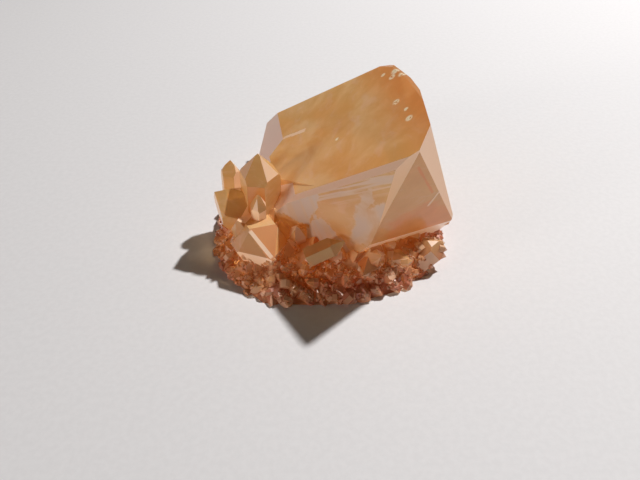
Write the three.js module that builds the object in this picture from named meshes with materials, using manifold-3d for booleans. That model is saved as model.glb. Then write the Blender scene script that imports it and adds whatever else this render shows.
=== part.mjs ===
// Fairy quartz: one large quartz crystal with a worn tip, standing in a collar of small druse points.
// It grew as one piece, so everything is joined in one solid with a flat base cut where it left the rock.
// Millimetres, +Z up. The origin is at the bottom, in the middle of the overall width and depth.
import * as THREE from "three";
import Module from "manifold-3d";
import { ConvexGeometry } from "three/addons/geometries/ConvexGeometry.js";
import { mergeVertices } from "three/addons/utils/BufferGeometryUtils.js";

const wasm = await Module();
wasm.setup();

// ---------------------------------------------------------------- driving dimensions

const APEX_HEIGHT = 30.4; // height of the corner where the top, front and right faces meet
const CRYSTAL_LEAN = 14.5; // degrees that the long axis leans from upright
const LEAN_HEADING = -10.2; // compass direction of the lean, degrees from +X
const CRYSTAL_SPIN = -168.7; // turn of the prism about its own axis, degrees

// Angle between the long axis and the normal of each kind of quartz face, in degrees.
const PRISM = 90;
const RHOMB = 51.8;
const CORNER = 66;

// Each face of the large crystal: heading about the axis and slope from it, in degrees, and how far
// the face lies beyond the apex corner, along its own normal.
const FACES = [
  { heading: -1.2, slope: RHOMB, reach: 0 }, // broad top face
  { heading: 60.5, slope: PRISM, reach: -0.1 }, // front left side
  { heading: 120, slope: PRISM, reach: -0.4 }, // front right side
  { heading: 149, slope: CORNER, reach: 0.9 }, // narrow face at the right front corner
  { heading: -178.5, slope: 56.5, reach: 4.65 }, // right top face
  { heading: 180, slope: PRISM, reach: 17.8 }, // right side
  { heading: 121, slope: 112, reach: 7.5 }, // undercut below the front right side
  { heading: 162, slope: 87, reach: 13 }, // right foot
  { heading: -120, slope: PRISM, reach: 30.3 }, // back
  { heading: 2, slope: 66.3, reach: 5.85 }, // left side
];

// Edges and corners that are worn or chipped, given in the same way.
const WEAR = [
  { heading: 34.5, slope: 68.3, reach: -0.58 }, // between the top and the front left side
  { heading: 91.3, slope: 87, reach: -1.13 }, // between the two front sides
  { heading: -176.3, slope: 66.7, reach: 9.7 }, // right corner
  { heading: -95, slope: 33.9, reach: 18.2 }, // tip, back
  { heading: -151, slope: 41.7, reach: 10.9 }, // tip, middle
  { heading: -165.5, slope: 51.9, reach: 8 }, // tip, right
  { heading: -34.8, slope: 33.5, reach: 9.65 }, // rounding of the tip towards the top face
  { heading: -49.6, slope: 17.4, reach: 6.8 },
  { heading: -62.7, slope: 10.5, reach: 5.4 },
  { heading: -81.6, slope: 66.6, reach: 34.6 }, // far left corner
  { heading: -14.4, slope: 119.8, reach: 42.9 }, // undercut at the far left foot
];

// A thin overgrowth that stands a little proud of the left end of the top face and dies out
// towards its middle.
const OVERGROWTH = [
  { heading: -1.9, slope: 48.5, reach: -1.1 }, // top
  { heading: -45, slope: 112.3, reach: 41.5 }, // far left
  { heading: 14.4, slope: 117.4, reach: 23.3 }, // left
  { heading: 40.8, slope: 100.9, reach: 6.8 }, // front left
  { heading: -93, slope: 73.1, reach: 22.9 }, // back
  { heading: -167, slope: 39.8, reach: -18.4 }, // right, inside the large crystal
  { heading: 178.8, slope: 180 - RHOMB, reach: 2.2 }, // underside, inside the large crystal
];

// ---------------------------------------------------------------- small tools

const radians = THREE.MathUtils.degToRad;

function seededRandom(seed) {
  let state = seed;
  return () => {
    state = (state * 1664525 + 1013904223) % 4294967296;
    return state / 4294967296;
  };
}

function direction(heading, slope) {
  const h = radians(heading);
  const s = radians(slope);
  return new THREE.Vector3(Math.sin(s) * Math.cos(h), Math.sin(s) * Math.sin(h), Math.cos(s));
}

// The corners of the convex solid inside a list of planes, each with a unit normal and a distance
// from the origin.
function cornersInside(planes) {
  const slack = 1e-4;
  const corners = [];
  for (let i = 0; i < planes.length; i += 1) {
    for (let j = i + 1; j < planes.length; j += 1) {
      for (let k = j + 1; k < planes.length; k += 1) {
        const corner = meetingPoint(planes[i], planes[j], planes[k]);
        if (corner && planes.every((p) => p.normal.dot(corner) <= p.distance + slack)) {
          corners.push(corner);
        }
      }
    }
  }
  return corners;
}

function meetingPoint(a, b, c) {
  const bc = new THREE.Vector3().crossVectors(b.normal, c.normal);
  const volume = a.normal.dot(bc);
  if (Math.abs(volume) < 1e-4) {
    return null;
  }
  const ca = new THREE.Vector3().crossVectors(c.normal, a.normal);
  const ab = new THREE.Vector3().crossVectors(a.normal, b.normal);
  return bc
    .multiplyScalar(a.distance)
    .addScaledVector(ca, b.distance)
    .addScaledVector(ab, c.distance)
    .divideScalar(volume);
}

function hull(points) {
  const geometry = new ConvexGeometry(points);
  geometry.deleteAttribute("normal");
  geometry.deleteAttribute("uv");
  const merged = mergeVertices(geometry, 1e-4);
  return new wasm.Manifold(
    new wasm.Mesh({
      numProp: 3,
      vertProperties: new Float32Array(merged.getAttribute("position").array),
      triVerts: new Uint32Array(merged.getIndex().array),
    })
  );
}

// The corner numbers of the triangles of the largest shell. Leaving out the other shells fills the
// small pockets that are closed off where crystals lean together.
function outerShell(corners, cornerCount) {
  const parent = Array.from({ length: cornerCount }, (_, i) => i);
  const shellOf = (i) => (parent[i] === i ? i : (parent[i] = shellOf(parent[i])));
  for (let i = 0; i < corners.length; i += 3) {
    parent[shellOf(corners[i])] = shellOf(corners[i + 1]);
    parent[shellOf(corners[i + 1])] = shellOf(corners[i + 2]);
  }
  const sizes = new Map();
  corners.forEach((corner) => sizes.set(shellOf(corner), (sizes.get(shellOf(corner)) ?? 0) + 1));
  const largest = [...sizes].reduce((a, b) => (b[1] > a[1] ? b : a))[0];
  return corners.filter((corner) => shellOf(corner) === largest);
}

function toGeometry(manifold) {
  const mesh = manifold.getMesh();
  const corners = outerShell(Array.from(mesh.triVerts), mesh.vertProperties.length / 3);
  const used = [...new Set(corners)];
  const place = new Map(used.map((corner, i) => [corner, i]));
  const positions = used.flatMap((i) => Array.from(mesh.vertProperties.subarray(3 * i, 3 * i + 3)));
  const geometry = new THREE.BufferGeometry();
  geometry.setAttribute("position", new THREE.Float32BufferAttribute(positions, 3));
  geometry.setIndex(corners.map((corner) => place.get(corner)));
  return geometry;
}

const FLOOR = { normal: new THREE.Vector3(0, 0, -1), distance: 0 };

// ---------------------------------------------------------------- the large crystal

const crystalTurn = new THREE.Matrix4()
  .makeRotationZ(radians(LEAN_HEADING))
  .multiply(new THREE.Matrix4().makeRotationY(radians(CRYSTAL_LEAN)))
  .multiply(new THREE.Matrix4().makeRotationZ(radians(CRYSTAL_SPIN)));
const apex = new THREE.Vector3(0, 0, APEX_HEIGHT);

function crystalFace({ heading, slope, reach }) {
  const normal = direction(heading, slope).transformDirection(crystalTurn);
  return { normal, distance: normal.dot(apex) + reach };
}

function crystalInside(faces) {
  return hull(cornersInside(faces.map(crystalFace).concat(FLOOR)));
}

// ---------------------------------------------------------------- druse points

// A six-sided quartz point: tip position, heading and rise of its axis in degrees, radius to its
// edges, height of the pyramid, full length and turn about its axis. Three faces of the pyramid stand
// back by the share threefold, which gives them less room, and sides sets how far out each side lies.
function quartzPoint(shape) {
  const { tip, heading, rise, radius, point, length, turn } = shape;
  const { threefold = 0.06, sides = [1, 1, 1, 1, 1, 1] } = shape;
  const axis = direction(heading, 90 - rise);
  const side = new THREE.Vector3(-Math.sin(radians(heading)), Math.cos(radians(heading)), 0);
  const up = new THREE.Vector3().crossVectors(axis, side);
  const end = new THREE.Vector3(...tip);
  const apothem = radius * Math.cos(Math.PI / 6);
  const planes = [{ normal: axis.clone().negate(), distance: -axis.dot(end) + length }, FLOOR];
  for (let k = 0; k < 6; k += 1) {
    const angle = radians(turn + 30 + 60 * k);
    const out = side.clone().multiplyScalar(Math.cos(angle)).addScaledVector(up, Math.sin(angle));
    planes.push({ normal: out, distance: out.dot(end) + apothem * sides[k] });
    const face = out.clone().multiplyScalar(point).addScaledVector(axis, apothem).normalize();
    const lift = k % 2 === 0 ? 0 : threefold * point;
    planes.push({ normal: face, distance: face.dot(end) + lift });
  }
  return hull(cornersInside(planes));
}

// Single points that stand out of the collar, mostly on its left.
const LARGE_POINTS = [
  {
    tip: [-27.4, 15, 21.7],
    heading: 0,
    rise: 88,
    radius: 4.7,
    point: 5.2,
    length: 18,
    turn: 26,
    threefold: 0.04,
    sides: [0.7, 0.85, 1, 0.9, 1, 1],
  },
  {
    tip: [-33.8, 20, 16.8],
    heading: 91,
    rise: 78,
    radius: 2.3,
    point: 3,
    length: 9,
    turn: 49,
    threefold: 0.16,
  },
  {
    tip: [-36.3, 12, 14.6],
    heading: 200,
    rise: 54,
    radius: 4.4,
    point: 6,
    length: 13,
    turn: 2,
    threefold: 0.2,
  },
  { tip: [-24.5, 0.5, 6.6], heading: 294, rise: 10, radius: 5.5, point: 5.4, length: 10, turn: 54 },
  {
    tip: [9.9, 7, 5.9],
    heading: 14,
    rise: 40,
    radius: 3,
    point: 2.8,
    length: 9,
    turn: 15,
    threefold: 0.15,
  },
  { tip: [-27.2, 9, 16.2], heading: 290, rise: 78, radius: 1.7, point: 3.8, length: 10, turn: 20 },
  { tip: [-31.6, 7.4, 11], heading: 230, rise: 60, radius: 3, point: 3.4, length: 9, turn: 35 },
  { tip: [-19.8, 6, 10.6], heading: 262, rise: 66, radius: 2, point: 3.4, length: 9, turn: 30 },
  { tip: [-10.4, 2.6, 9.8], heading: 12, rise: 22, radius: 2.2, point: 2.8, length: 8, turn: 12 },
  { tip: [-3.2, 0.8, 7.6], heading: 300, rise: 52, radius: 2.6, point: 3, length: 9, turn: 8 },
  { tip: [2.4, 1.6, 6], heading: 332, rise: 30, radius: 2.4, point: 2.8, length: 9, turn: 30 },
];

// ---------------------------------------------------------------- collar of druse

// The collar is set out around its own centre: how far its points reach at the floor, how far its
// shoulder lies inside that, and the height of the shoulder, every 30 degrees from +X.
const COLLAR_CENTRE = new THREE.Vector3(-12, 20, 0);
const COLLAR_REACH = [24, 24.5, 24, 27, 30.5, 26, 26.5, 28.8, 29.3, 25.5, 25.6, 25.2];
const COLLAR_SHELF = [5, 6, 6, 6, 5, 6, 9, 12, 14, 11, 8, 7];
const COLLAR_HEIGHT = [4, 5, 6, 6.5, 5.5, 8, 10, 9, 5.8, 7.6, 8.4, 6];
const MASS_DEPTH = 0.9; // how far the mass that the points grow from lies inside their reach

// Sizes of points, from the largest to the smallest: radius, the levels between which they grow,
// how many places are tried, and how far they stand out of the mass.
const COLLAR_SIZES = [
  { radius: 3.2, from: 0.5, to: 1.5, tries: 120, stand: 1.9 },
  { radius: 2.4, from: 0.24, to: 1.4, tries: 300, stand: 1.5 },
  { radius: 1.8, from: 0.05, to: 1.1, tries: 600, stand: 1.1 },
  { radius: 1.3, from: 0, to: 0.7, tries: 900, stand: 0.8 },
];
const CROWDING = 0.62; // least distance between two points, in the sum of their radii

function around(values, heading) {
  const step = 360 / values.length;
  const place = ((((heading % 360) + 360) % 360) / step) % values.length;
  const i = Math.floor(place);
  const blend = 0.5 - 0.5 * Math.cos(Math.PI * (place - i));
  return THREE.MathUtils.lerp(values[i], values[(i + 1) % values.length], blend);
}

// A place on the collar's mass: level 0 is at the floor, level 1 at its shoulder, and beyond that
// it runs inwards over the top.
function onCollar(heading, level) {
  const inwards = MASS_DEPTH + around(COLLAR_SHELF, heading) * level ** 1.4;
  const reach = around(COLLAR_REACH, heading) - inwards;
  const flat = new THREE.Vector3(Math.cos(radians(heading)), Math.sin(radians(heading)), 0);
  const place = COLLAR_CENTRE.clone().addScaledVector(flat, reach);
  place.z = around(COLLAR_HEIGHT, heading) * (level < 1 ? level : 1 + 0.4 * (level - 1));
  return place;
}

function collarMass() {
  const step = 20;
  const sectors = [];
  for (let heading = 0; heading < 360; heading += step) {
    const corners = [COLLAR_CENTRE];
    for (const level of [0, 0.5, 1, 1.5]) {
      corners.push(onCollar(heading, level), onCollar(heading + step, level));
    }
    sectors.push(hull(corners));
  }
  return joinAll(sectors);
}

// Draws a tip back until it lies inside the reach of the collar.
function heldInside(tip) {
  const out = tip.clone().sub(COLLAR_CENTRE).setZ(0);
  const heading = THREE.MathUtils.radToDeg(Math.atan2(out.y, out.x));
  const over = out.length() - around(COLLAR_REACH, heading);
  return over > 0 ? tip.addScaledVector(out.normalize(), -over) : tip;
}

function collarPoints() {
  const random = seededRandom(41);
  const spread = (amount) => (random() - 0.5) * 2 * amount;
  const feet = [];
  const points = [];
  for (const { radius, from, to, tries, stand } of COLLAR_SIZES) {
    for (let i = 0; i < tries; i += 1) {
      const heading = 360 * random();
      const level = from + (to - from) * random();
      const width = radius * (1 + spread(0.2));
      const foot = onCollar(heading, level);
      if (feet.some((other) => foot.distanceTo(other.foot) < CROWDING * (width + other.width))) {
        continue;
      }
      feet.push({ foot, width });
      const lean = { heading: heading + spread(45), rise: 6 + 62 * Math.min(level, 1) + spread(26) };
      const axis = direction(lean.heading, 90 - lean.rise);
      const tip = heldInside(foot.clone().addScaledVector(axis, stand * (1 + spread(0.3))));
      const sides = Array.from({ length: 6 }, () => 1 + spread(0.2));
      const shape = { radius: width, point: 1.25 * width, length: 4 * width, turn: 60 * random() };
      const threefold = 0.28 * random();
      points.push(quartzPoint({ tip: tip.toArray(), ...lean, ...shape, sides, threefold }));
    }
  }
  return points;
}

// ---------------------------------------------------------------- the whole piece

function joinAll(solids) {
  return solids.reduce((whole, solid) => whole.add(solid));
}

const whole = joinAll([
  crystalInside([...FACES, ...WEAR]),
  crystalInside(OVERGROWTH),
  collarMass(),
  ...LARGE_POINTS.map(quartzPoint),
  ...collarPoints(),
]);

const geometry = toGeometry(whole);
geometry.computeBoundingBox();
const middle = geometry.boundingBox.getCenter(new THREE.Vector3());
geometry.translate(-middle.x, -middle.y, -geometry.boundingBox.min.z);

const cluster = new THREE.Mesh(
  geometry,
  new THREE.MeshStandardMaterial({ color: 0xc98f55, roughness: 0.15, metalness: 0 })
);
cluster.name = "quartz_cluster";

const quartz = new THREE.Group();
quartz.add(cluster);

export default quartz;
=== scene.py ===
import math
import random
from collections import namedtuple

import bmesh
import bpy
import numpy as np
from mathutils import Euler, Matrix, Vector
from mathutils.bvhtree import BVHTree


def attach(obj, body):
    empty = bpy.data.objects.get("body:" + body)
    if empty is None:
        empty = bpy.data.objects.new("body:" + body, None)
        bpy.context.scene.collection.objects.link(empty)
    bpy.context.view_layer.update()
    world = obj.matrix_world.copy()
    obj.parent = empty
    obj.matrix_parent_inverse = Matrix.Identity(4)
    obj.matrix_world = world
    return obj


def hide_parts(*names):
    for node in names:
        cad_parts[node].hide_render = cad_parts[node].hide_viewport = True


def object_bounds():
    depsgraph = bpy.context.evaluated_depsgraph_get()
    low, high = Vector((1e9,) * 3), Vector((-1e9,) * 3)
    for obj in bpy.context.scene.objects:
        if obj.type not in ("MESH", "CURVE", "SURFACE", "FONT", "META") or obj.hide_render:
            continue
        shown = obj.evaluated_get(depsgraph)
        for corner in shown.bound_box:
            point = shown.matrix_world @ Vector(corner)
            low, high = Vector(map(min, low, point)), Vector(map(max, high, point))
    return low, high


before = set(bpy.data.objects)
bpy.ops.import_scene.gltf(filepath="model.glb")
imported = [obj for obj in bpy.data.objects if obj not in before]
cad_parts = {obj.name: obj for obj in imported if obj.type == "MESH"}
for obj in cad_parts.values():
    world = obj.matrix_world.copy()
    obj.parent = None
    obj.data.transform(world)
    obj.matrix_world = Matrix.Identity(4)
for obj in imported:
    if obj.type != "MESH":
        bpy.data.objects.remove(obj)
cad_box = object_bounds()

MM = 0.001
SEED = 7

# ---------------------------------------------------------------- camera

PICTURE_WIDTH, PICTURE_HEIGHT = 640, 480
FOCAL_PIXELS = 587.0
SENSOR_WIDTH = 36
NEAREST_SEEN = 0.005
CAMERA_PLACE = Vector((-2.257, -102.4882, 85.955)) * MM
CAMERA_TURN = Euler((math.radians(48.0), 0, 0))


def line_of_sight(column, line):
    """The direction from the camera to a place in its picture, counted from the top left corner."""
    way = Vector((column - PICTURE_WIDTH / 2, PICTURE_HEIGHT / 2 - line, -FOCAL_PIXELS))
    way.rotate(CAMERA_TURN)
    return way.normalized()


def camera():
    lens = bpy.data.cameras.new("camera")
    lens.sensor_width = SENSOR_WIDTH
    lens.lens = SENSOR_WIDTH * FOCAL_PIXELS / PICTURE_WIDTH
    lens.clip_start = NEAREST_SEEN
    eye = bpy.data.objects.new("camera", lens)
    eye.location = CAMERA_PLACE
    eye.rotation_euler = CAMERA_TURN
    bpy.context.scene.collection.objects.link(eye)
    bpy.context.scene.camera = eye


# ---------------------------------------------------------------- what the CAD solid says

WELD = 1e-7

# Least dot products of two unit directions that agree roughly, or belong to one facet or one side.
ROUGHLY = 0.98
SAME_FACET = 0.992
SAME_SIDE = 0.998

Side = namedtuple("Side", "normal distance")
Facet = namedtuple("Facet", "place normal reach")


def solid_mesh(node):
    """A welded copy of a CAD node's mesh."""
    bm = bmesh.new()
    bm.from_mesh(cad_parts[node].data)
    bmesh.ops.remove_doubles(bm, verts=bm.verts, dist=WELD)
    mesh = bpy.data.meshes.new("quartz_solid")
    bm.to_mesh(mesh)
    bm.free()
    return mesh


SOLID = solid_mesh("quartz_cluster")
SURFACE = BVHTree.FromPolygons([v.co for v in SOLID.vertices], [tuple(p.vertices) for p in SOLID.polygons])


def flat_side(*rough):
    """The large flat side of the solid that faces roughly this way."""
    way = Vector(rough).normalized()
    alike = [face for face in SOLID.polygons if face.normal.dot(way) > ROUGHLY]
    biggest = max(alike, key=lambda face: face.area)
    normal = biggest.normal.copy()
    return Side(normal, normal.dot(biggest.center))


def seen_at(column, line):
    """The place and the outward normal of the solid where the camera sees it."""
    place, normal, _, _ = SURFACE.ray_cast(CAMERA_PLACE, line_of_sight(column, line))
    return place, normal


def seen_on(side, column, line):
    """Where a line of sight meets the plane of a side."""
    way = line_of_sight(column, line)
    far = (side.distance - side.normal.dot(CAMERA_PLACE)) / side.normal.dot(way)
    return CAMERA_PLACE + way * far


# The sides of the large crystal, each found by the way it roughly faces.
TOP = flat_side(-0.6, 0, 0.8)
FRONT_LEFT = flat_side(-0.45, -0.9, 0.1)
FRONT_RIGHT = flat_side(0.5, -0.85, -0.15)
RIGHT_CORNER = flat_side(0.85, -0.5, 0.2)
UNDERCUT = flat_side(0.4, -0.75, -0.5)
LEFT_END = flat_side(-0.8, -0.1, 0.6)
UPPER_BEVEL = flat_side(-0.65, -0.55, 0.5)
FRONT_BEVEL = flat_side(0.05, -1, 0)
BACK = flat_side(0.5, 0.85, -0.1)

CLEAN_SIDES = [TOP, FRONT_LEFT, FRONT_RIGHT, BACK]
MATT_SIDES = [UPPER_BEVEL, FRONT_BEVEL, UNDERCUT, LEFT_END, RIGHT_CORNER]
BARE_SIDES = [TOP, FRONT_LEFT, FRONT_RIGHT, UPPER_BEVEL, FRONT_BEVEL, RIGHT_CORNER, LEFT_END]

# ---------------------------------------------------------------- shader maths


class Recipe:
    """The node tree of one material, with one way to add any node."""

    def __init__(self, name):
        self.material = bpy.data.materials.new(name)
        self.material.use_nodes = True
        self.tree = self.material.node_tree
        self.tree.nodes.clear()
        self.output = self.tree.nodes.new("ShaderNodeOutputMaterial")

    def plug(self, socket, value):
        if isinstance(value, Amount):
            self.tree.links.new(value.socket, socket)
        else:
            socket.default_value = value

    def node(self, kind, settings=None, values=None, out=0):
        """Adds a node, sets its settings, fills its sockets, and returns one of its outputs."""
        made = self.tree.nodes.new(kind)
        for name, value in (settings or {}).items():
            setattr(made, name, value)
        for name, value in (values or {}).items():
            self.plug(made.inputs[name], value)
        return Amount(self, made.outputs[out])

    def place(self):
        return self.node("ShaderNodeTexCoord", out="Object")

    def flat_normal(self):
        return self.node("ShaderNodeNewGeometry", out="True Normal")

    def vector_maths(self, operation, a, b=None, out="Vector"):
        values = {0: a} if b is None else {0: a, 1: b}
        return self.node("ShaderNodeVectorMath", {"operation": operation}, values, out)

    def along(self, vector, direction):
        """How far vector reaches along a fixed direction."""
        return self.vector_maths("DOT_PRODUCT", vector, direction, out="Value")

    def millimetres(self, place, direction):
        """How far place reaches along a fixed direction, in millimetres."""
        return self.along(place, Vector(direction) / MM)

    def facing(self, side, least=SAME_SIDE):
        """1 where the surface faces as this side or facet does, else 0."""
        values = {0: self.along(self.flat_normal(), side.normal), 1: least}
        return self.node("ShaderNodeMath", {"operation": "GREATER_THAN"}, values)

    def facing_any(self, sides):
        found = self.facing(sides[0])
        for side in sides[1:]:
            found = found.most(self.facing(side))
        return found

    def noise(self, place, scale, detail=3.0, roughness=0.5, distortion=0.0):
        values = {"Vector": place, "Scale": scale, "Detail": detail}
        values.update({"Roughness": roughness, "Distortion": distortion})
        return self.node("ShaderNodeTexNoise", {"noise_dimensions": "3D"}, values)

    def blend(self, factor, a, b):
        """Colour a where factor is 0 and b where it is 1."""
        made = self.tree.nodes.new("ShaderNodeMix")
        made.data_type = "RGBA"
        self.plug(made.inputs[0], factor)
        self.plug(made.inputs[6], (*a, 1) if isinstance(a, tuple) else a)
        self.plug(made.inputs[7], (*b, 1) if isinstance(b, tuple) else b)
        return Amount(self, made.outputs[2])

    def mixed_shaders(self, factor, a, b):
        """Shader a where factor is 0 and b where it is 1."""
        return self.node("ShaderNodeMixShader", {}, {0: factor, 1: a, 2: b})

    def stretched(self, place, scale):
        return self.vector_maths("MULTIPLY", place, scale)


class Amount:
    """A value in a recipe, with the arithmetic that shader maths needs."""

    def __init__(self, recipe, socket):
        self.recipe = recipe
        self.socket = socket

    def _math(self, operation, a, b=None):
        values = {0: a} if b is None else {0: a, 1: b}
        return self.recipe.node("ShaderNodeMath", {"operation": operation}, values)

    def __add__(self, other):
        return self._math("ADD", self, other)

    __radd__ = __add__

    def __sub__(self, other):
        return self._math("SUBTRACT", self, other)

    def __rsub__(self, other):
        return self._math("SUBTRACT", other, self)

    def __mul__(self, other):
        return self._math("MULTIPLY", self, other)

    __rmul__ = __mul__

    def most(self, other):
        return self._math("MAXIMUM", self, other)

    def least(self, other):
        return self._math("MINIMUM", self, other)

    def size(self):
        return self._math("ABSOLUTE", self)

    def held(self):
        """Kept between 0 and 1."""
        return self.most(0.0).least(1.0)

    def rising(self, start, end):
        """Runs smoothly from 0 at start to 1 at end, which may lie either way round."""
        low, high, a, b = (start, end, 0.0, 1.0) if start < end else (end, start, 1.0, 0.0)
        values = {"Value": self, "From Min": low, "From Max": high, "To Min": a, "To Max": b}
        return self.recipe.node("ShaderNodeMapRange", {"interpolation_type": "SMOOTHSTEP"}, values)


# ---------------------------------------------------------------- fine druse

# The finest points are grown from the collar of the solid: how many of each size are tried, and
# their radius in millimetres. A range is its least value and its width.
FINE_SIZES = [(260, 0.8), (500, 0.55), (500, 0.35)]
SIZE_RANGE = (0.75, 0.6)
CORNERS = 6
UNEVEN = 0.25  # spread of the corners' distances from the axis
FINE_ROOT = 1.6  # depth of the foot inside the collar, in radii
FINE_STAND = 0.8  # how far the tip stands out, in radii
STAND_RANGE = (0.8, 0.5)
TIP_RANGE = (1.0, 0.4)  # height of the pointed end, in radii
TIP_OFF = 0.25  # how far the tip strays from the axis, in radii
FINE_LEAN = 0.55
LEAST_UPRIGHT = 0.3  # least dot product of a point's axis and the surface it stands on
LEAST_HEIGHT = 0.1 * MM  # a point's upper corners stand at least this far above the floor
BATCH_GAP = 2.6  # points of one batch stand at least this many radii apart

# They grow on the collar's own facets, which are low and small and don't face the floor.
COLLAR_TOP = 5.5 * MM
COLLAR_FOOT = 0.25 * MM
BIGGEST_FACET = 3.5 * MM * MM
FACES_FLOOR = -0.35

# A spot is on a bare side when its facet's normal and its distance agree this closely with it.
SAME_WAY = 0.99
SAME_PLANE = 0.3 * MM

Point = namedtuple("Point", "spot radius verts faces")


def mesh_object(name, verts, faces):
    mesh = bpy.data.meshes.new(name)
    mesh.from_pydata([tuple(v) for v in verts], [], faces)
    mesh.update()
    piece = bpy.data.objects.new(name, mesh)
    bpy.context.scene.collection.objects.link(piece)
    return piece


def drawn(chance, least, width):
    """A random value in a range."""
    return least + width * chance.random()


def collar_places(mesh, count, chance):
    """Places on the collar's surface, spread by area, with their outward normals."""
    areas = np.zeros(len(mesh.polygons))
    for i, face in enumerate(mesh.polygons):
        on_floor = face.normal.z < FACES_FLOOR or face.center.z < COLLAR_FOOT
        if not on_floor and face.center.z < COLLAR_TOP and face.area < BIGGEST_FACET:
            areas[i] = face.area
    ends = np.cumsum(areas)
    places = []
    for _ in range(count):
        i = int(np.searchsorted(ends, chance.random() * ends[-1]))
        face = mesh.polygons[i]
        corners = [mesh.vertices[v].co for v in face.vertices]
        a, b = sorted((chance.random(), chance.random()))
        spot = corners[0] * a + corners[1] * (b - a) + corners[2] * (1 - b)
        places.append((spot, face.normal.copy()))
    return places


def on_bare_side(spot, normal):
    for side in BARE_SIDES:
        if side.normal.dot(normal) > SAME_WAY and abs(side.normal.dot(spot) - side.distance) < SAME_PLANE:
            return True
    return False


def small_point(spot, axis, radius, chance):
    """Vertices and faces of one six-sided quartz point that stands on spot."""
    side = axis.orthogonal().normalized()
    up = axis.cross(side)
    turn = chance.random() * math.tau
    uneven = [1 + UNEVEN * (chance.random() - 0.5) for _ in range(CORNERS)]
    stand = FINE_STAND * radius * drawn(chance, *STAND_RANGE)
    tip_height = radius * drawn(chance, *TIP_RANGE)
    off = side * radius * TIP_OFF * (chance.random() - 0.5)
    verts = []
    for along in (-FINE_ROOT * radius, stand - tip_height):
        for k in range(CORNERS):
            angle = turn + k * math.tau / CORNERS
            reach = radius * uneven[k]
            arm = side * math.cos(angle) * reach + up * math.sin(angle) * reach
            verts.append(spot + axis * along + arm)
    verts.append(spot + axis * stand + off)
    faces = [tuple(reversed(range(CORNERS)))]
    for k in range(CORNERS):
        after = (k + 1) % CORNERS
        faces.append((k, after, CORNERS + after, CORNERS + k))
        faces.append((CORNERS + k, CORNERS + after, 2 * CORNERS))
    return verts, faces


def fine_points(mesh):
    """The small points of every size that stand well and stay within the solid's box."""
    chance = random.Random(SEED)
    low, high = (Vector(c) for c in cad_box)
    points = []
    for count, radius_mm in FINE_SIZES:
        for spot, normal in collar_places(mesh, count, chance):
            if on_bare_side(spot, normal):
                continue
            radius = radius_mm * MM * drawn(chance, *SIZE_RANGE)
            tilt = Vector([chance.gauss(0, 1) for _ in range(3)]) * FINE_LEAN
            axis = (normal + tilt).normalized()
            if axis.dot(normal) < LEAST_UPRIGHT:
                continue
            verts, faces = small_point(spot, axis, radius, chance)
            inside = all(low[k] < v[k] < high[k] for v in verts for k in (0, 1))
            if inside and min(v.z for v in verts[CORNERS:]) > LEAST_HEIGHT:
                points.append(Point(spot, radius, verts, faces))
    return points


def stands_clear(point, others):
    return all((point.spot - o.spot).length > BATCH_GAP * (point.radius + o.radius) for o in others)


def batches_of(points):
    """The points in batches, so that those of one batch stand clear of each other."""
    batches = []
    for point in points:
        for batch in batches:
            if stands_clear(point, batch):
                batch.append(point)
                break
        else:
            batches.append([point])
    return batches


def cut_at_floor(piece):
    """Takes off what reaches below the base."""
    bm = bmesh.new()
    bm.from_mesh(piece.data)
    geom = bm.verts[:] + bm.edges[:] + bm.faces[:]
    cut = bmesh.ops.bisect_plane(bm, geom=geom, plane_co=(0, 0, 0), plane_no=(0, 0, -1), clear_outer=True)
    edges = [e for e in cut["geom_cut"] if isinstance(e, bmesh.types.BMEdge)]
    bmesh.ops.holes_fill(bm, edges=edges)
    bm.to_mesh(piece.data)
    bm.free()


def join(base, tool):
    """Joins tool to base in one surface."""
    change = base.modifiers.new("join", "BOOLEAN")
    change.operation = "UNION"
    change.solver = "MANIFOLD"
    change.object = tool
    shapes = bpy.context.evaluated_depsgraph_get()
    mesh = bpy.data.meshes.new_from_object(base.evaluated_get(shapes))
    base.modifiers.clear()
    base.data = mesh
    bpy.data.objects.remove(tool)


def fairy_quartz():
    piece = bpy.data.objects.new("fairy_quartz", SOLID)
    bpy.context.scene.collection.objects.link(piece)
    for batch in batches_of(fine_points(SOLID)):
        verts, faces = [], []
        for point in batch:
            faces += [tuple(i + len(verts) for i in face) for face in point.faces]
            verts += point.verts
        tool = mesh_object("druse_batch", verts, faces)
        cut_at_floor(tool)
        join(piece, tool)
        bpy.context.view_layer.update()
    return piece


# ---------------------------------------------------------------- where the markings are

# Facets of the small crystals that are matt and pale, ones that are clear and golden, and ones that
# are deep orange: column and line at which the camera sees the facet, and its reach in millimetres.
PALE_FACETS = {
    "tall point, left": (250, 165, 6),
    "tall point, right": (272, 170, 6),
    "far point, right": (236, 180, 4),
    "needle, left": (257, 204, 3.5),
    "needle, right": (266, 213, 3),
    "broad point, underside": (256, 263, 5),
    "stub behind the prism": (297, 230, 4),
    "slab beside the broad point": (288, 256, 3),
    "below the lying prism": (332, 262, 3),
    "above the front tooth": (380, 253, 3),
    "right tooth": (434, 258, 5),
}
GOLDEN_FACETS = {
    "tall point, front": (262, 170, 5),
    "left point, front": (232, 190, 6),
    "far point, front": (228, 175, 5),
    "broad point, left": (240, 240, 5),
    "broad point, front": (250, 246, 5),
    "broad point, far left": (235, 225, 4),
    "front shelf": (408, 258, 3),
    "lying prism, front": (330, 252, 5),
}
DEEP_FACETS = {
    "tall point, foot": (255, 188, 6),
    "broad point, right": (266, 240, 5),
    "above the prism's left end": (315, 242, 5),
    "lying prism, top": (330, 240, 5),
    "lying prism, left top": (315, 250, 5),
    "front tooth": (365, 262, 5),
    "right end of the collar": (442, 238, 6),
}

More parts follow.
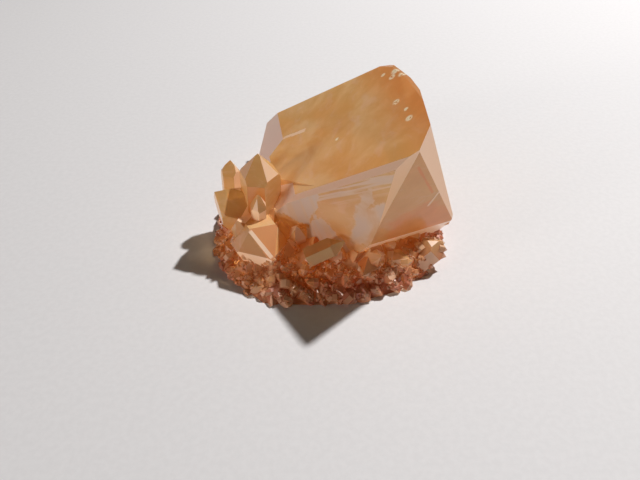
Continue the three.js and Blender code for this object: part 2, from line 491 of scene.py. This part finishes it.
# Painted highlights: small bright glints near the tip, painted into the colour as pale spots: column, line
# and reach in millimetres.
PAINTED_GLINTS = {
    "upper middle": (395, 71, 1.22),
    "upper right": (402, 74, 1.08),
    "upper low": (392, 77, 0.94),
    "upper left": (383, 75, 0.68),
    "middle": (396, 102, 0.94),
    "lower": (406, 109, 0.61),
    "lowest": (409, 118, 0.94),
    "lone one": (337, 139, 0.54),
}

# Fine lines: column and line of both ends, half the width in millimetres, and how much of the
# wobble widens or narrows it.
DEEP_LINES = {
    "long crack": ((418, 167), (433, 193), 0.28, 0.12),
    "short crack": ((404, 216), (432, 200), 0.12, 0.08),
}
PALE_LINES = {
    "veil at the left end": ((283, 139), (305, 130), 0.6, 0.3),
    "healed crack": ((439, 192), (428, 206), 0.25, 0.1),
    "ridge of the broad point": ((250, 231), (272, 258), 0.42, 0.05),
}

# Patches on the two front sides: columns and lines of their corners, anticlockwise as seen.
MATT_PATCH = [(268, 208), (310, 226), (319, 200), (312, 186), (300, 175), (288, 177)]
MATT_FOOT = [(304, 238), (348, 254), (348, 232), (324, 219), (315, 208)]
ROSY_PATCH = [(350, 246), (385, 242), (390, 214), (379, 191), (361, 188), (356, 210)]
CLEAR_WEDGE = [(370, 207), (386, 202), (390, 191), (374, 190)]
DARK_FOOT = [(382, 252), (454, 222), (455, 205), (431, 201), (391, 223)]

# Directions of the striations, seen from the front: along them, and across.
DOWN_PATCH = (-0.35, 0, 0.9), (0.9, 0, 0.35)
BESIDE_EDGE = (0.84, 0, 0.54), (-0.54, 0, 0.84)
DOWN_FINENESS = 0.8
BESIDE_FINENESS = 1.5
STRETCH = 60

# Where things begin and where they are full, in millimetres: heights, and ways along a direction.
STAIN_HEIGHTS = (9.0, 2.0)
LESS_STAINED_HEIGHTS = (2.0, 7.0)
PAINTED_SHADE_HEIGHTS = (4.0, 9.0)
EDGE_DEPTHS = (12.5, 16.0)
TIP_WAY = (0.42, 0.18, 0.8)
TIP_REACHES = (24.0, 34.0)

WOBBLE = 4.0  # how far the edge of a patch strays, in millimetres
PATCH_EDGE = 0.25
SOFT_EDGE = 0.5
VERY_SOFT_EDGE = 1.5
SPOT_EDGE = 0.02  # softness of a round spot's edge, in its reach
LINE_END = 0.3
LINE_EDGE = 0.03
THINNEST_LINE = 0.05

# Kinds of noise.
RAGGED = {"scale": 380, "detail": 5, "roughness": 0.65}
CLOUDS = {"scale": 110, "detail": 4, "roughness": 0.55, "distortion": 0.4}
WISPS = {"scale": 230, "detail": 4, "roughness": 0.6, "distortion": 1.0}
WISP_STRETCH = (1, 1, 2.2)
FACET_CHANCE = {"scale": 2.6, "detail": 0.0}
STRIPES = {"scale": 1.0, "detail": 2.0}
PAINTED_GLINT_GRAIN = {"scale": 1500, "detail": 2}
TABLE_GRAIN = {"scale": 900, "detail": 3, "roughness": 0.6}

# The values between which a noise passes from nothing to all of its marking.
CLOUD_RANGE = (0.35, 0.7)
ROSY_RANGE = (0.4, 0.6)
WISP_RANGE = (0.5, 0.72)
FACET_RANGE = (0.56, 0.57)
DOWN_PATCH_RANGE = (0.42, 0.54)
BESIDE_EDGE_RANGE = (0.46, 0.56)
PAINTED_GLINT_RANGE = (0.36, 0.46)
MILK_RANGE = (0.3, 0.7)
TABLE_RANGE = (0.3, 0.7)

# How strong a marking is everywhere, and what its noise, patch or height adds to that.
MATT_BASE, MATT_STRIPES = 0.78, 0.3
ROSY_BASE, ROSY_CLOUDS = 0.35, 0.6
LOW_FACETS, HIGH_FACETS = 0.6, 0.4
STAIN_BASE, STAIN_CLOUDS = 0.6, 0.8
RIGHT_DEPTH, FOOT_DEPTH = 0.25, 0.6
FACETS_BY_CHANCE = 0.9
EDGE_STRIPES = 0.85
RIGHT_GOLD = 0.9
TIP_DEPTH = 0.95
STAIN_OFF_PALE = 0.65
# Painted shade: how far the front left side, and the small crystals' facets that aren't pale, are darkened
# towards umber.
LEFT_PAINTED_SHADE = 0.45
SMALL_PAINTED_SHADE = 0.4


def patch_on(r, place, side, spots, wobble, soft=PATCH_EDGE):
    """1 within a convex patch on a side, with an edge that wobbles."""
    corners = [seen_on(side, *spot) / MM for spot in spots]
    inside = None
    for here, after in zip(corners, corners[1:] + corners[:1]):
        inwards = Vector((here.z - after.z, 0, after.x - here.x)).normalized()
        depth = r.millimetres(place, inwards) - inwards.dot(here) + wobble
        step = depth.rising(-soft, soft)
        inside = step if inside is None else inside * step
    return inside


def near(r, place, spot, reach, soft=0.0):
    """1 within reach of a spot."""
    away = r.vector_maths("DISTANCE", place, spot, out="Value")
    return away.rising(reach * (1 + SPOT_EDGE), reach * (1 - SPOT_EDGE - soft))


def on_facets(r, place, listed):
    """1 on the listed facets."""
    total = 0.0
    for column, line, reach in listed.values():
        facet = Facet(*seen_at(column, line), reach * MM)
        total = near(r, place, facet.place, facet.reach) * r.facing(facet, SAME_FACET) + total
    return total.held()


def line_on(r, place, ends, half_width, wobble):
    """1 along a straight line between the two spots where the camera sees its ends."""
    start, end = (seen_at(*spot)[0] for spot in ends)
    run = (end - start) / MM
    half_length = run.length / 2
    arm = r.vector_maths("SUBTRACT", place, (start + end) / 2)
    far = r.millimetres(arm, run.normalized())
    size = r.vector_maths("LENGTH", arm, out="Value") * (1 / MM)
    across = size * size - far * far
    reach = (half_width + wobble).most(THINNEST_LINE)
    within = far.size().rising(half_length + LINE_END, half_length - LINE_END)
    return (reach * reach - across).rising(-LINE_EDGE, LINE_EDGE) * within


def on_lines(r, place, listed, wobble):
    """1 on the listed lines."""
    found = None
    for start, end, half_width, share in listed.values():
        line = line_on(r, place, (start, end), half_width, share * wobble)
        found = line if found is None else found.most(line)
    return found


def striations(r, place, directions, fine):
    """Fine parallel lines: noise drawn out along one direction."""
    along, across = directions
    values = {"X": fine * r.millimetres(place, across), "Y": STRETCH * r.along(place, along), "Z": 0.0}
    return r.noise(r.node("ShaderNodeCombineXYZ", {}, values), **STRIPES)


def pale_skin(r, place, height):
    """How matt and pale the whole sides and facets are."""
    clean = r.facing_any(CLEAN_SIDES)
    by_chance = r.noise(r.flat_normal(), **FACET_CHANCE).rising(*FACET_RANGE) * (1 - clean)
    by_chance = by_chance * (LOW_FACETS + HIGH_FACETS * height.rising(*LESS_STAINED_HEIGHTS))
    by_chance = by_chance * (1 - on_facets(r, place, DEEP_FACETS | GOLDEN_FACETS))
    pale = r.facing_any(MATT_SIDES).most(by_chance * FACETS_BY_CHANCE)
    return pale.most(on_facets(r, place, PALE_FACETS)).held()


def rosy_skin(r, place, cloud, wobble):
    """The matt and rosy patches of the front left side, and the stripes beside its upper edge."""
    matt = patch_on(r, place, FRONT_LEFT, MATT_PATCH, wobble)
    matt = matt.most(patch_on(r, place, FRONT_LEFT, MATT_FOOT, wobble))
    down = striations(r, place, DOWN_PATCH, DOWN_FINENESS).rising(*DOWN_PATCH_RANGE)
    matt = matt * (MATT_BASE + MATT_STRIPES * down).held()
    rosy = patch_on(r, place, FRONT_LEFT, ROSY_PATCH, wobble, SOFT_EDGE)
    rosy = rosy * (ROSY_BASE + ROSY_CLOUDS * cloud.rising(*ROSY_RANGE))
    rosy = rosy * (1 - patch_on(r, place, FRONT_LEFT, CLEAR_WEDGE, wobble))
    near_edge = r.millimetres(place, BESIDE_EDGE[1]).rising(*EDGE_DEPTHS)
    beside = striations(r, place, BESIDE_EDGE, BESIDE_FINENESS).rising(*BESIDE_EDGE_RANGE)
    return matt.most(rosy).most(EDGE_STRIPES * beside * near_edge) * r.facing(FRONT_LEFT)


def painted_glints(r, place):
    """1 on the painted highlights: small bright spots, each broken up a little."""
    total = 0.0
    for column, line, reach in PAINTED_GLINTS.values():
        total = near(r, place, seen_at(column, line)[0], reach * MM, SOFT_EDGE) + total
    return (total * r.noise(place, **PAINTED_GLINT_GRAIN).rising(*PAINTED_GLINT_RANGE)).held()


class Markings:
    """Where the stone is clouded, matt, golden, deep or stained, and where shade and highlights are
    painted into its colour, each from 0 to 1.
    """

    def __init__(self, r):
        place = r.place()
        height = r.millimetres(place, (0, 0, 1))
        wobble = WOBBLE * (r.noise(place, **RAGGED) - 0.5)
        self.cloud = r.noise(place, **CLOUDS)
        self.wisps = r.noise(r.stretched(place, WISP_STRETCH), **WISPS)
        self.pale = pale_skin(r, place, height)
        self.rosy = rosy_skin(r, place, self.cloud, wobble)
        self.veil = on_lines(r, place, PALE_LINES, wobble)
        self.frost = self.pale.most(self.rosy).held()
        self.painted_glint = painted_glints(r, place)

        on_right = r.facing(FRONT_RIGHT)
        dark_foot = patch_on(r, place, FRONT_RIGHT, DARK_FOOT, wobble, VERY_SOFT_EDGE)
        towards_tip = r.millimetres(place, TIP_WAY).rising(*TIP_REACHES)
        self.golden = on_facets(r, place, GOLDEN_FACETS).most(RIGHT_GOLD * on_right)
        deep = (RIGHT_DEPTH + FOOT_DEPTH * dark_foot) * (1 - self.pale) * on_right
        deep = deep.most(TIP_DEPTH * towards_tip).most(on_lines(r, place, DEEP_LINES, wobble))
        self.deep = deep.most(on_facets(r, place, DEEP_FACETS))

        clouding = (STAIN_BASE + STAIN_CLOUDS * self.cloud.rising(*CLOUD_RANGE)).held()
        self.stain = height.rising(*STAIN_HEIGHTS) * clouding * (1 - STAIN_OFF_PALE * self.pale)
        # Painted shade on the small crystals' facets, more of it higher up, and on the front left side.
        small = 1 - r.facing_any(CLEAN_SIDES + MATT_SIDES)
        shaded = small * (1 - self.pale) * height.rising(*PAINTED_SHADE_HEIGHTS)
        self.painted_shade = LEFT_PAINTED_SHADE * r.facing(FRONT_LEFT) + SMALL_PAINTED_SHADE * shaded


# ---------------------------------------------------------------- materials

HONEY = (0.93, 0.58, 0.20)
CLOUDED_HONEY = (0.97, 0.71, 0.34)
DEEP_HONEY = (0.92, 0.38, 0.11)
GOLD = (0.86, 0.58, 0.21)
FROST = (1.0, 0.76, 0.54)
# Pale frost of the matt end sides. On the undercut, which lies in shade, it is painted light.
BRIGHT_FROST_AND_PAINTED_LIGHT = (1.0, 0.93, 0.83)
ROSY_FROST = (0.66, 0.53, 0.47)
CLEAR = (0.96, 0.80, 0.54)
# Colour of the painted shade.
SHADE_UMBER = (0.60, 0.38, 0.18)
DARK_CLEAR = (0.82, 0.42, 0.20)
IRON = (0.56, 0.21, 0.125)
# Colour of the painted highlights near the tip.
PAINTED_SPARKLE = (1.0, 0.90, 0.62)
AMBER_LIGHT = (0.86, 0.54, 0.20)
PALE_LIGHT = (0.88, 0.72, 0.58)
ABSORPTION = (0.92, 0.73, 0.30)
DENSITY = 115.0

QUARTZ_IOR = 1.544
MILK_ROUGHNESS = 0.35
CLEAR_ROUGHNESS = 0.10
COAT = 0.25
MILK_COAT_ROUGHNESS = 0.06
CLEAR_COAT_ROUGHNESS = 0.04

# How far each colour covers the ones under it.
WISP_COVER = 0.35
ROSY_COVER = 0.9
PALE_COVER = 0.85
VEIL_COVER = 0.9
BEVEL_COVER = 0.4
CLEAR_COVER = 0.7

# Shares of the skin: how much of the surface is milky, and how much of the milk glows.
MILK, CLOUD_MILK, MATT_MILK, PAINTED_GLINT_MILK = 0.68, 0.12, 0.32, 0.4
GLOW, PALE_GLOW = 0.12, 0.22

# The share of lamp light that enters straight through the skin, and what is added to it where the
# light would leave the stone's inside.
LAMP_SHARE = 0.03
LAMP_SHARE_INSIDE = 0.91

TABLE_DARK = (0.78, 0.775, 0.77)
TABLE_LIGHT = (0.81, 0.805, 0.80)
TABLE_ROUGHNESS = 0.75


def milky_colour(r, m):
    colour = r.blend(m.cloud.rising(*CLOUD_RANGE), HONEY, CLOUDED_HONEY)
    colour = r.blend(m.golden, colour, GOLD)
    colour = r.blend(m.deep, colour, DEEP_HONEY)
    # Painted shade: darker umber on the front left side and on the small facets.
    colour = r.blend(m.painted_shade, colour, SHADE_UMBER)
    colour = r.blend(WISP_COVER * m.wisps.rising(*WISP_RANGE) * (1 - m.deep), colour, FROST)
    colour = r.blend(ROSY_COVER * m.rosy, colour, ROSY_FROST)
    colour = r.blend((PALE_COVER * m.pale).most(VEIL_COVER * m.veil), colour, FROST)
    # The upper bevel, the left end and the undercut are frosted and painted paler still. On the undercut,
    # which faces down into shade, this is painted light, and the iron stain is kept off it.
    frost_and_painted_light = BEVEL_COVER * r.facing(UPPER_BEVEL) + r.facing_any([LEFT_END, UNDERCUT])
    colour = r.blend(frost_and_painted_light, colour, BRIGHT_FROST_AND_PAINTED_LIGHT)
    colour = r.blend(m.stain * (1 - r.facing(UNDERCUT)), colour, IRON)
    # Painted highlights: the glints near the tip are painted pale gold.
    return r.blend(m.painted_glint, colour, PAINTED_SPARKLE)


def clear_colour(r, m):
    colour = r.blend(m.golden, CLEAR, GOLD)
    # Painted shade in the clear part too.
    colour = r.blend(m.painted_shade, colour, SHADE_UMBER)
    return r.blend(CLEAR_COVER * m.stain.most(m.deep), colour, DARK_CLEAR)


def quartz_shader(r, colour, roughness, coat_roughness, transmission):
    values = {"Base Color": colour, "Roughness": roughness, "IOR": QUARTZ_IOR}
    values.update({"Transmission Weight": transmission, "Coat Weight": COAT})
    values.update({"Coat Roughness": coat_roughness})
    return r.node("ShaderNodeBsdfPrincipled", {}, values)


def quartz_finish():
    """Clear quartz under a skin that is milky in part and glows where light comes through."""
    r = Recipe("amber_quartz")
    m = Markings(r)
    milk = quartz_shader(r, milky_colour(r, m), MILK_ROUGHNESS, MILK_COAT_ROUGHNESS, 0.0)
    clear = quartz_shader(r, clear_colour(r, m), CLEAR_ROUGHNESS, CLEAR_COAT_ROUGHNESS, 1.0)
    amber_light = r.node("ShaderNodeBsdfTranslucent", {}, {"Color": (*AMBER_LIGHT, 1)})
    pale_light = r.node("ShaderNodeBsdfTranslucent", {}, {"Color": (*PALE_LIGHT, 1)})
    matt = m.frost.most(m.veil)
    inner_light = r.mixed_shaders(matt, amber_light, pale_light)
    skin = r.mixed_shaders(GLOW + PALE_GLOW * m.pale, milk, inner_light)
    milkiness = MILK + CLOUD_MILK * m.cloud.rising(*MILK_RANGE) + MATT_MILK * matt + PAINTED_GLINT_MILK * m.painted_glint
    body = r.mixed_shaders(milkiness.held(), clear, skin)

    # Lamp light enters the stone through its far side, but little of it leaves again unscattered.
    lamp_ray = r.node("ShaderNodeLightPath", out="Is Shadow Ray")
    from_inside = r.node("ShaderNodeNewGeometry", out="Backfacing")
    opening = lamp_ray * (LAMP_SHARE + LAMP_SHARE_INSIDE * from_inside)
    surface = r.mixed_shaders(opening, body, r.node("ShaderNodeBsdfTransparent"))
    values = {"Color": (*ABSORPTION, 1), "Density": DENSITY}
    r.plug(r.output.inputs["Surface"], surface)
    r.plug(r.output.inputs["Volume"], r.node("ShaderNodeVolumeAbsorption", {}, values))
    return r.material


def floor_finish():
    r = Recipe("pale_table")
    grain = r.noise(r.place(), **TABLE_GRAIN)
    colour = r.blend(grain.rising(*TABLE_RANGE), TABLE_DARK, TABLE_LIGHT)
    values = {"Base Color": colour, "Roughness": TABLE_ROUGHNESS}
    r.plug(r.output.inputs["Surface"], r.node("ShaderNodeBsdfPrincipled", {}, values))
    return r.material


# ---------------------------------------------------------------- stage

# Heading and rise in degrees, distance and size in metres, power in watts.
KEY = {"heading": 38, "rise": 53, "distance": 0.8, "size": 0.035, "power": 6.9, "tint": (1.0, 0.98, 0.985)}
FILL = {"heading": 209, "rise": 7, "distance": 1.2, "size": 0.3, "power": 4.8, "tint": (1.0, 0.90, 0.83)}
ROOM_TINT = (1.0, 0.75, 0.65)
ROOM_STRENGTH = 0.01
BACKDROP_TINT = (0.62, 0.61, 0.605)
FLOOR_REACH = 1.6
FLOOR_DROP = 0.02 * MM


def lamp(name, heading, rise, distance, size, power, tint):
    light = bpy.data.lights.new(name, "AREA")
    light.shape = "DISK"
    light.size = size
    light.energy = power
    light.color = tint
    holder = bpy.data.objects.new(name, light)
    h, e = math.radians(heading), math.radians(rise)
    arm = Vector((math.cos(h) * math.cos(e), math.sin(h) * math.cos(e), math.sin(e)))
    holder.location = arm * distance
    holder.rotation_euler = arm.to_track_quat("Z", "Y").to_euler()
    bpy.context.scene.collection.objects.link(holder)


def surroundings():
    """A room that looks pale to the camera but gives next to no light of its own."""
    world = bpy.data.worlds.new("soft_room")
    world.use_nodes = True
    tree = world.node_tree
    room = tree.nodes["Background"]
    room.inputs["Color"].default_value = (*ROOM_TINT, 1)
    room.inputs["Strength"].default_value = ROOM_STRENGTH
    backdrop = tree.nodes.new("ShaderNodeBackground")
    backdrop.inputs["Color"].default_value = (*BACKDROP_TINT, 1)
    seen = tree.nodes.new("ShaderNodeLightPath")
    chosen = tree.nodes.new("ShaderNodeMixShader")
    tree.links.new(seen.outputs["Is Camera Ray"], chosen.inputs[0])
    tree.links.new(room.outputs[0], chosen.inputs[1])
    tree.links.new(backdrop.outputs[0], chosen.inputs[2])
    tree.links.new(chosen.outputs[0], tree.nodes["World Output"].inputs["Surface"])
    bpy.context.scene.world = world
    bpy.context.scene.view_settings.view_transform = "Standard"


def floor():
    corners = [(x * FLOOR_REACH, y * FLOOR_REACH, 0) for x, y in ((-1, -1), (1, -1), (1, 1), (-1, 1))]
    table = mesh_object("table", corners, [(0, 1, 2, 3)])
    table.location.z = -FLOOR_DROP
    table.data.materials.append(floor_finish())


# ---------------------------------------------------------------- the whole scene

quartz = fairy_quartz()
quartz.data.materials.clear()
quartz.data.materials.append(quartz_finish())
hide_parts("quartz_cluster")
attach(quartz, "root")

floor()
camera()
surroundings()
lamp("key", **KEY)
lamp("fill", **FILL)
